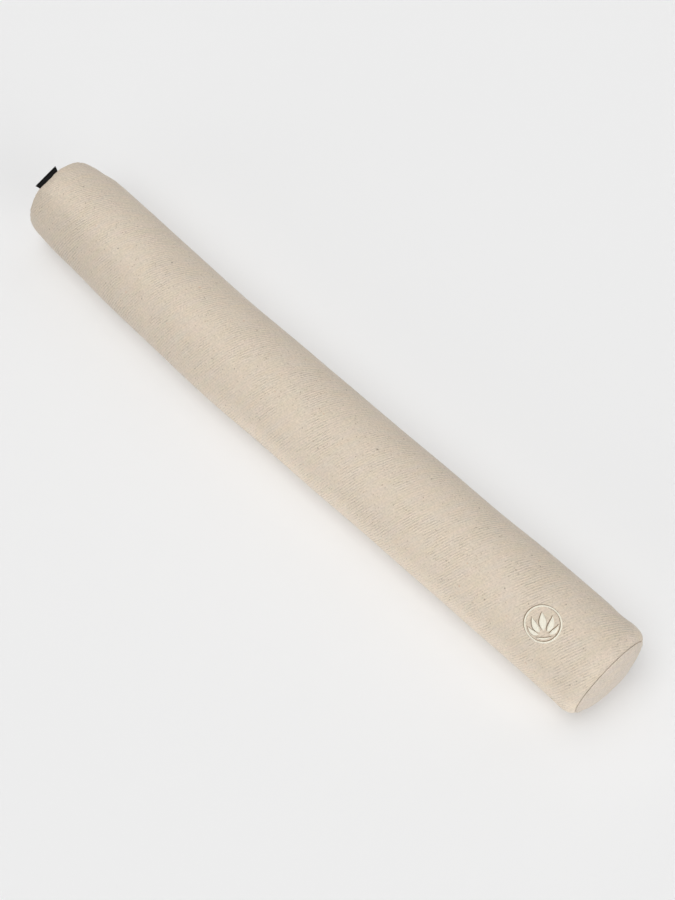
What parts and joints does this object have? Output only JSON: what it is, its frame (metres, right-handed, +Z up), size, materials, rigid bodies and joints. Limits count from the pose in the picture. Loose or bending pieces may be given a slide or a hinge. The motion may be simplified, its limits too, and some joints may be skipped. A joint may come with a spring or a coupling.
{
  "type": "bolster pillow",
  "caption": "Slim, firm bolster pillow: a long round canvas cover with a zip along the back, flat end panels, an embroidered motif and a sewn-in woven label.",
  "frame": {"origin": "centre of the bounding box on the surface that the pillow lies on", "axes": "+X along the pillow towards the embroidered end, +Y towards the zip, +Z up"},
  "size_m": [0.8, 0.115, 0.1011],
  "materials": {
    "canvas": "undyed twill canvas with brown and tan flecks, matt",
    "calico": "plain undyed calico, matt",
    "hulls": "loose dark brown hulls",
    "seam_thread": "spun sewing thread",
    "embroidery_thread": "satin-stitched embroidery thread, slight sheen",
    "backing": "tear-away embroidery backing",
    "black_satin": "black woven satin ribbon",
    "white_satin": "white satin ribbon",
    "zip_tape": "woven tape",
    "zip_coil": "extruded coil, satin",
    "zip_metal": "tumbled metal, nickel colour"
  },
  "bodies": {
    "pillow": {"cover_body": "canvas", "end_panel_motif_side": "canvas", "end_panel_label_side": "canvas", "end_seam_thread_motif_side": "seam_thread", "end_seam_thread_label_side": "seam_thread", "woven_label": "black_satin", "embroidered_motif": "embroidery_thread", "embroidery_backing": "backing", "zip_tape_upper": "zip_tape", "zip_tape_lower": "zip_tape", "zip_coil_upper": "zip_coil", "zip_coil_lower": "zip_coil", "zip_top_stop_upper": "zip_metal", "zip_top_stop_lower": "zip_metal", "zip_bottom_stop": "zip_metal", "zip_topstitch_upper": "seam_thread", "zip_topstitch_lower": "seam_thread", "zip_bar_tack_closed_end": "seam_thread", "zip_bar_tack_open_end": "seam_thread", "care_label": "white_satin", "inner_bag_body": "calico", "inner_bag_end_motif_side": "calico", "inner_bag_end_label_side": "calico", "inner_bag_seam_thread": "seam_thread", "hull_filling": "hulls"},
    "slider": {"zip_slider": "zip_metal"},
    "pull": {"zip_pull_tab": "zip_metal"}
  },
  "joints": [
    {"name": "zip_slide", "type": "slide", "parent": "pillow", "child": "slider", "axis": [-0.9999, -0.0103, 0], "range_m": [0, 0.367]},
    {"name": "pull_hinge", "type": "hinge", "parent": "slider", "child": "pull", "pos_m": [0.2912, 0.05512, 0.03721], "axis": [0, -0.1736, -0.9848], "range_deg": [0, 170]}
  ]
}
